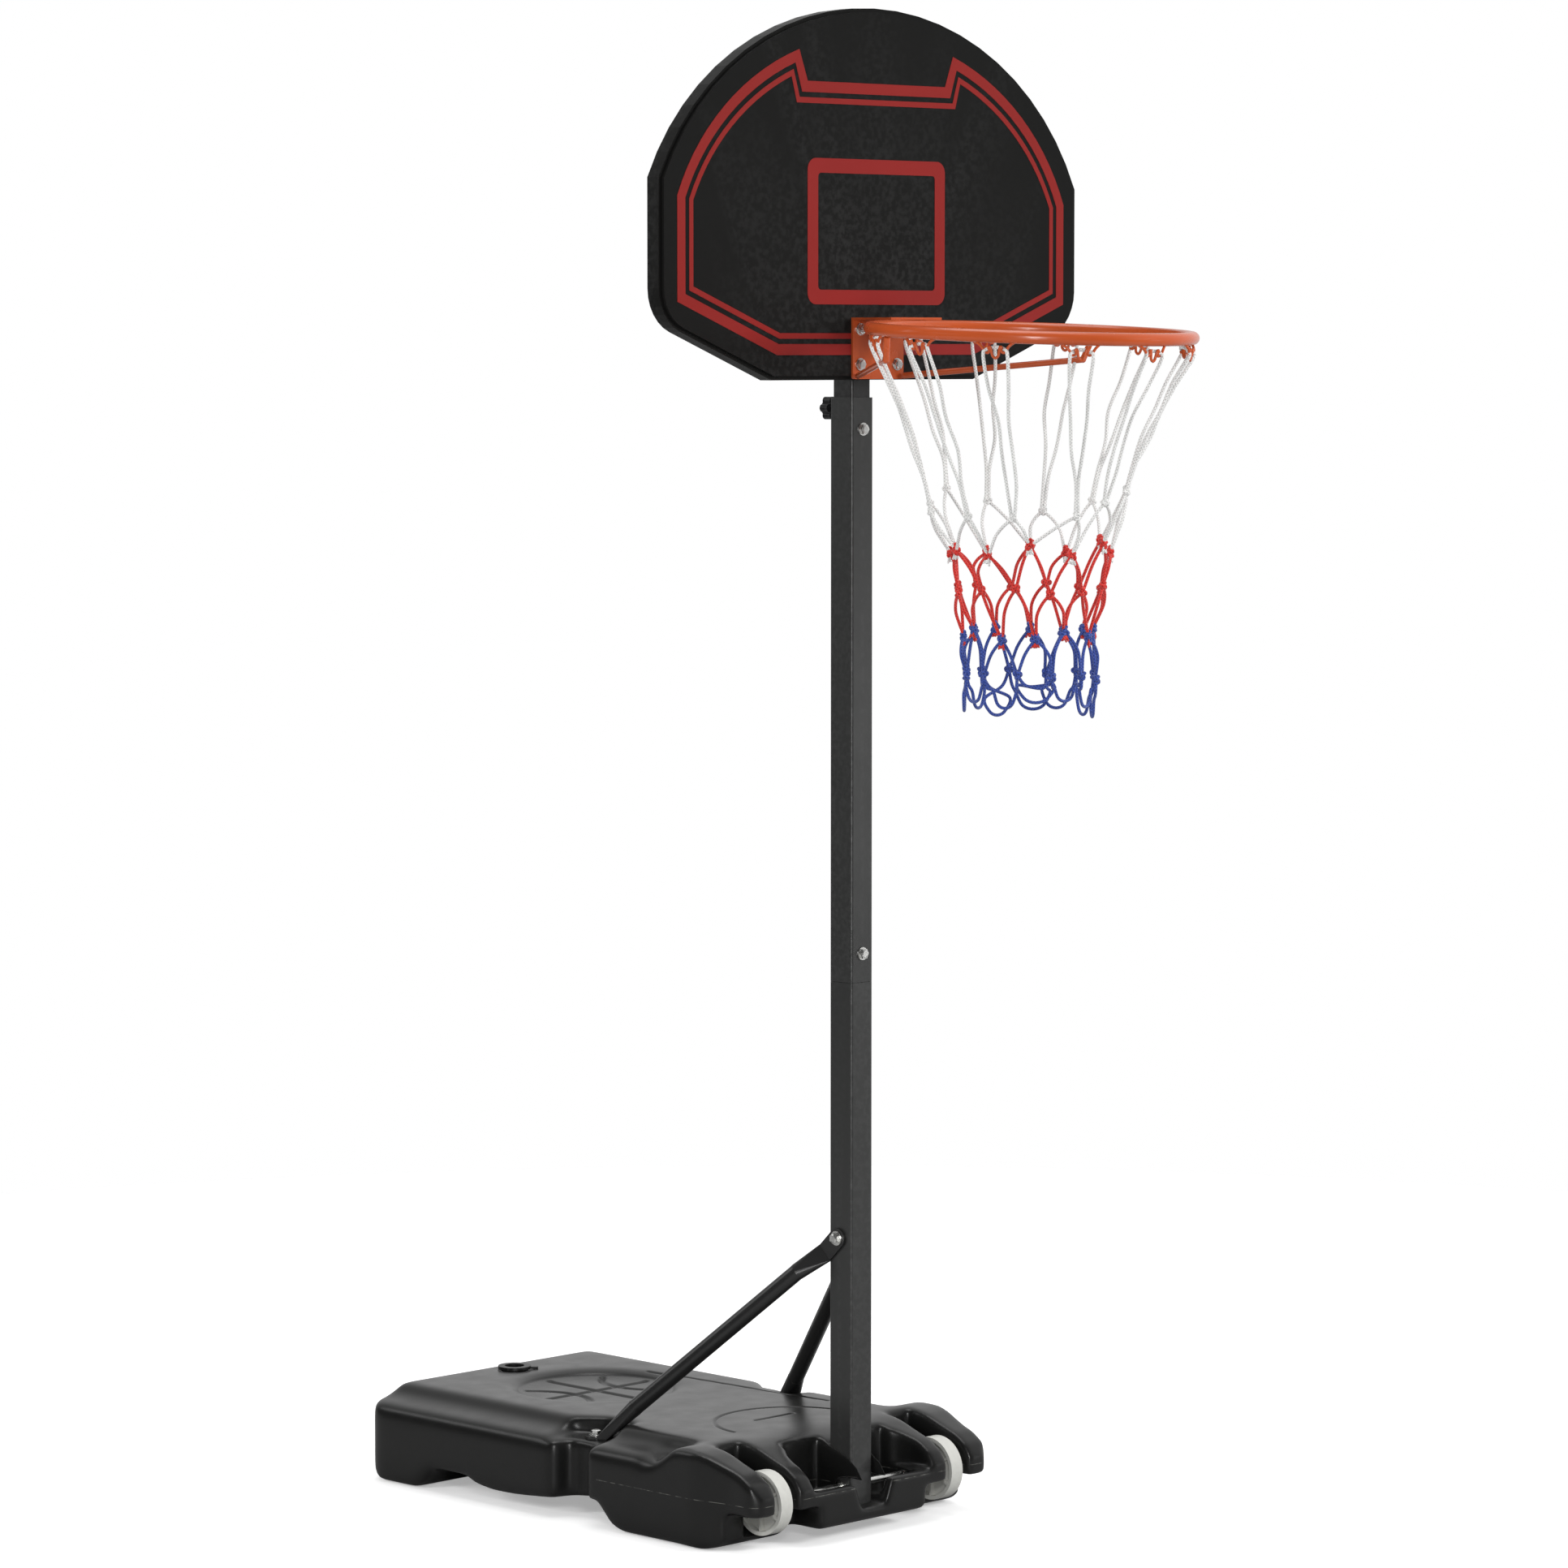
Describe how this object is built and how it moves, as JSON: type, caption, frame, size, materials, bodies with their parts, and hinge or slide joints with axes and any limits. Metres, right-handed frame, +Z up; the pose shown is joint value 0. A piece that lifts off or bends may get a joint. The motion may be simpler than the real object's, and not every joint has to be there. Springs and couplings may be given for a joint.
{
  "type": "portable basketball hoop",
  "caption": "Portable basketball hoop: fillable wheeled base tank, telescoping square pole with braces, arched backboard, orange rim and three-colour cord net.",
  "frame": {"origin": "on the floor, under the middle of the whole hoop's box; the pole's axis is 0.0895 m in front of it", "axes": "+Z up along the pole, -Y the front (the rim's side of the board), +X the hoop's right as seen from the front"},
  "size_m": [0.77, 1.231, 1.987],
  "materials": {
    "tank_plastic": "satin moulded polyethylene",
    "black_plastic": "satin",
    "wheel_plastic": "satin moulded",
    "zinc_steel": "bright zinc plate",
    "pole_paint": "satin powder coat",
    "brace_paint": "satin powder coat",
    "brass": "plain",
    "board_plastic": "fine matt front, smoother border",
    "print_red": "satin screen print",
    "rim_paint": "gloss powder coat",
    "net_white_cord": "braided cord",
    "net_red_cord": "braided cord",
    "net_blue_cord": "braided cord"
  },
  "bodies": {
    "stand": {"base_tank": "tank_plastic", "axle_rod": "zinc_steel", "axle_push_nuts": "zinc_steel", "joint_bolt": "zinc_steel", "joint_nut": "zinc_steel", "height_bolt": "zinc_steel", "height_nut": "zinc_steel", "brace_top_bolt": "zinc_steel", "brace_top_washers": "zinc_steel", "brace_top_nut": "zinc_steel", "brace_foot_bolts": "zinc_steel", "brace_foot_washers": "zinc_steel", "pole_lower": "pole_paint", "pole_joiner": "pole_paint", "pole_middle": "pole_paint", "clamp_weld_nut": "pole_paint", "brace_left": "brace_paint", "brace_right": "brace_paint", "brace_foot_inserts": "brass"},
    "upper": {"pole_upper": "pole_paint", "pole_top_cap": "black_plastic", "backboard": "board_plastic", "border_print": "print_red", "target_print": "print_red", "board_bracket": "pole_paint", "board_back_washers": "zinc_steel", "rim_plate": "rim_paint", "rim_ring": "rim_paint", "rim_rods": "rim_paint", "rim_bolts": "zinc_steel", "rim_nuts": "zinc_steel", "net_hooks": "rim_paint", "net_white": "net_white_cord", "net_red": "net_red_cord", "net_blue": "net_blue_cord"},
    "wheel_left": {"wheel_left": "wheel_plastic"},
    "wheel_right": {"wheel_right": "wheel_plastic"},
    "filler_plug": {"filler_plug": "black_plastic"},
    "clamp_feed": {"clamp_collar": "zinc_steel"},
    "clamp_hand": {"clamp_knob": "black_plastic", "clamp_screw": "zinc_steel"}
  },
  "joints": [
    {"name": "height_slide", "type": "slide", "parent": "stand", "child": "upper", "axis": [0, 0, 1], "range_m": [0, 0.55]},
    {"name": "wheel_left_spin", "type": "hinge", "parent": "stand", "child": "wheel_left", "pos_m": [-0.1605, -0.0895, 0.059], "axis": [1, 0, 0], "continuous": true},
    {"name": "wheel_right_spin", "type": "hinge", "parent": "stand", "child": "wheel_right", "pos_m": [0.1605, -0.0895, 0.059], "axis": [1, 0, 0], "continuous": true},
    {"name": "plug_lift", "type": "slide", "parent": "stand", "child": "filler_plug", "axis": [0, 0, 1], "range_m": [0, 0.03]},
    {"name": "clamp_feed_slide", "type": "slide", "parent": "stand", "child": "clamp_feed", "axis": [0, 1, 0], "range_m": [0, 0.0038]},
    {"name": "clamp_turn", "type": "hinge", "parent": "clamp_feed", "child": "clamp_hand", "pos_m": [0, -0.0545, 1.474], "axis": [0, 1, 0], "range_deg": [0, 1080]}
  ],
  "couplings": [
    {"joint": "clamp_feed_slide", "follows": "clamp_turn", "m_per_rad": 0.00019894}
  ]
}
